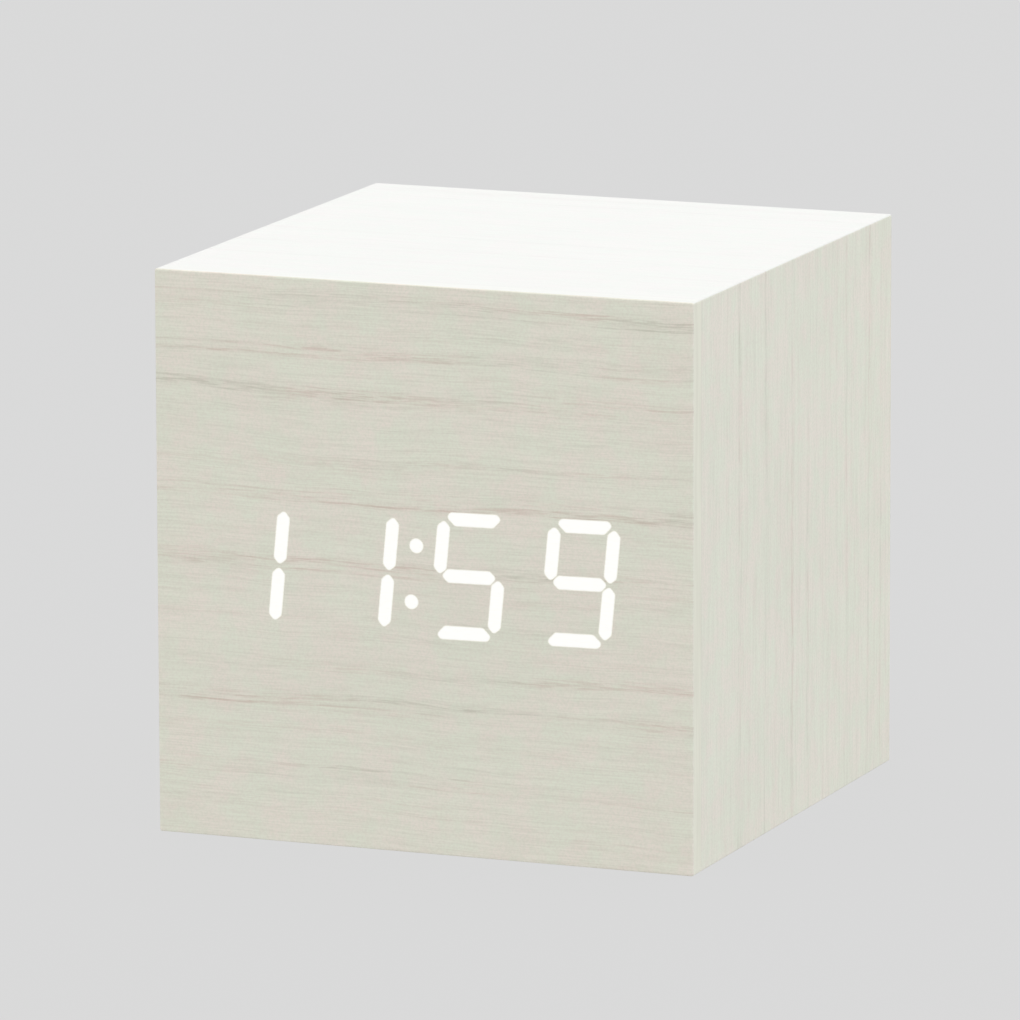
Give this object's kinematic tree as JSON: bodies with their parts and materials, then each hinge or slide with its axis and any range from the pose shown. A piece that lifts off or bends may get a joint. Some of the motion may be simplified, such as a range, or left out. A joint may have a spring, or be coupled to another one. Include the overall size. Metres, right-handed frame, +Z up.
{
  "type": "led cube desk clock",
  "caption": "Cube desk clock in pale wood-grain film whose lit digits glow through the front, with a battery bay, buttons and power jack in the back.",
  "frame": {"origin": "middle of the underside, on the surface it stands on", "axes": "+X to the right as seen from the front, +Y from the front to the back, +Z up"},
  "size_m": [0.06, 0.06, 0.06],
  "materials": {
    "film_board": "satin",
    "front_film": "satin",
    "lit_bar": "satin",
    "fibreboard": "matte",
    "diffuser": "matte",
    "white_plastic": "satin",
    "lens_resin": "satin",
    "foam_tape": "matte",
    "circuit_board": "satin",
    "led_phosphor": "satin",
    "chip_black": "matte",
    "ivory_plastic": "satin",
    "plated_steel": "satin",
    "ribbon_grey": "satin",
    "black_plastic": "matte",
    "cell_sleeve": "gloss",
    "lead_red": "satin",
    "lead_black": "satin",
    "thermistor_blue": "gloss",
    "capacitor_can": "satin",
    "gold_contact": "polished",
    "button_rubber": "matte"
  },
  "bodies": {
    "case": {"wall_top": "film_board", "wall_bottom": "film_board", "wall_left": "film_board", "wall_right": "film_board", "corner_blocks": "fibreboard", "front_board": "fibreboard", "front_film": "front_film", "diffuser_sheet": "diffuser", "light_frame": "white_plastic", "lit_lenses": "lens_resin", "dark_lenses": "lens_resin", "tape_ring": "foam_tape", "display_board": "circuit_board", "segment_leds": "led_phosphor", "driver_chip": "chip_black", "display_connector": "ivory_plastic", "display_screws": "plated_steel", "ribbon_cable": "ribbon_grey", "back_panel": "black_plastic", "case_screws": "plated_steel", "cell_top": "cell_sleeve", "cell_middle": "cell_sleeve", "cell_bottom": "cell_sleeve", "contact_springs": "plated_steel", "contact_plates": "plated_steel", "lead_red": "lead_red", "lead_black": "lead_black", "main_board": "circuit_board", "clock_chip": "chip_black", "crystal": "plated_steel", "buzzer": "chip_black", "thermistor": "thermistor_blue", "capacitor": "capacitor_can", "ribbon_connector": "ivory_plastic", "battery_connector": "ivory_plastic", "switch_bodies": "chip_black", "board_screws": "plated_steel", "jack_shell": "plated_steel", "jack_tongue": "chip_black", "jack_contacts": "gold_contact"},
    "set_button": {"button_set": "button_rubber", "plunger_set": "ivory_plastic"},
    "up_button": {"button_up": "button_rubber", "plunger_up": "ivory_plastic"},
    "down_button": {"button_down": "button_rubber", "plunger_down": "ivory_plastic"},
    "door": {"battery_door": "black_plastic"}
  },
  "joints": [
    {"name": "set_press", "type": "slide", "parent": "case", "child": "set_button", "axis": [0, -1, 0], "range_m": [0, 0.0005], "stiffness_N_per_m": 800, "springref_m": -0.0005},
    {"name": "up_press", "type": "slide", "parent": "case", "child": "up_button", "axis": [0, -1, 0], "range_m": [0, 0.0005], "stiffness_N_per_m": 800, "springref_m": -0.0005},
    {"name": "down_press", "type": "slide", "parent": "case", "child": "down_button", "axis": [0, -1, 0], "range_m": [0, 0.0005], "stiffness_N_per_m": 800, "springref_m": -0.0005},
    {"name": "door_hinge", "type": "hinge", "parent": "case", "child": "door", "pos_m": [0, 0.0273, 0.0419], "axis": [1, 0, 0], "range_deg": [0, 90]}
  ]
}
